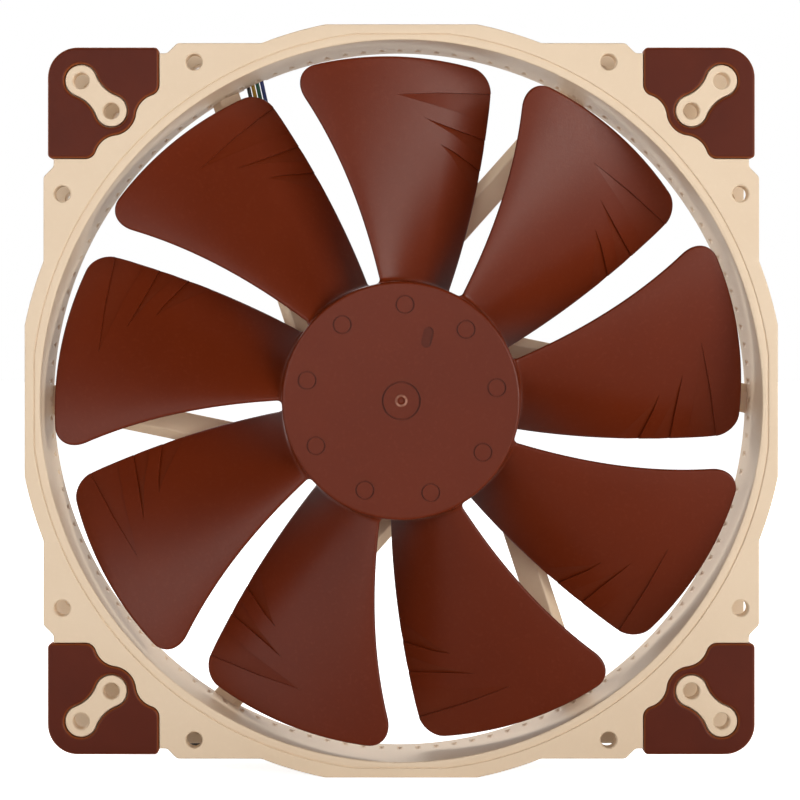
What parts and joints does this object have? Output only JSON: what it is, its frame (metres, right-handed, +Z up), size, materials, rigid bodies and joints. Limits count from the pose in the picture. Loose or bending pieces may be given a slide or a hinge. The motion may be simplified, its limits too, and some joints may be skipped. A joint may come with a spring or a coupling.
{
  "type": "case fan",
  "caption": "Large square case fan: beige frame on angled struts, brown swept-blade impeller on a hub motor, silicone corner pads and a short sleeved cable.",
  "frame": {"origin": "on the rotor's axis, half way between the front and rear pads' faces", "axes": "+Z up, the rotor's axis along Y with the intake side facing -Y, +X to the right seen from the intake side"},
  "size_m": [0.2026, 0.0455, 0.2],
  "materials": {
    "beige_plastic": "satin moulded thermoplastic, fine erosion texture",
    "brown_plastic": "satin fibre-filled plastic",
    "brown_silicone": "smooth silicone with a soft sheen",
    "steel": "bright steel",
    "laminations": "stacked sheet steel",
    "brass": "turned brass",
    "copper": "enamelled copper wire",
    "magnet": "bonded ferrite",
    "nylon": "natural nylon",
    "board_green": "solder mask",
    "black_plastic": "satin black",
    "ceramic": "ceramic chip part",
    "label": "plain satin film",
    "black_wire": "PVC insulation",
    "yellow_wire": "PVC insulation",
    "green_wire": "PVC insulation",
    "blue_wire": "PVC insulation",
    "sleeving": "braided sleeve"
  },
  "bodies": {
    "housing": {"frame": "beige_plastic", "pad_front_top_right": "brown_silicone", "pad_front_low_right": "brown_silicone", "pad_front_low_left": "brown_silicone", "pad_front_top_left": "brown_silicone", "pad_rear_top_right": "brown_silicone", "pad_rear_low_right": "brown_silicone", "pad_rear_low_left": "brown_silicone", "pad_rear_top_left": "brown_silicone", "stator_core": "laminations", "bearing_tube": "brass", "bearing_sleeve": "brass", "coil_1": "copper", "coil_2": "copper", "coil_3": "copper", "coil_4": "copper", "bearing_magnet": "magnet", "insulator_front": "nylon", "insulator_rear": "nylon", "thrust_pad": "nylon", "circuit_board": "board_green", "driver_chip": "black_plastic", "hall_sensor": "black_plastic", "oil_seal": "black_plastic", "cable_grommet": "black_plastic", "cable_shrink_tube": "black_plastic", "plug_housing": "black_plastic", "capacitor": "ceramic", "rear_label": "label", "cable": "sleeving", "lead_black": "black_wire", "plug_wire_black": "black_wire", "lead_yellow": "yellow_wire", "plug_wire_yellow": "yellow_wire", "lead_green": "green_wire", "plug_wire_green": "green_wire", "lead_blue": "blue_wire", "plug_wire_blue": "blue_wire"},
    "rotor": {"impeller": "brown_plastic", "rotor_cup": "steel", "ring_magnet": "magnet", "shaft_bush": "brass", "shaft": "steel", "shaft_clip": "steel"}
  },
  "joints": [
    {"name": "rotor_spin", "type": "hinge", "parent": "housing", "child": "rotor", "pos_m": [0, 0, 0], "axis": [0, -1, 0], "continuous": true}
  ]
}
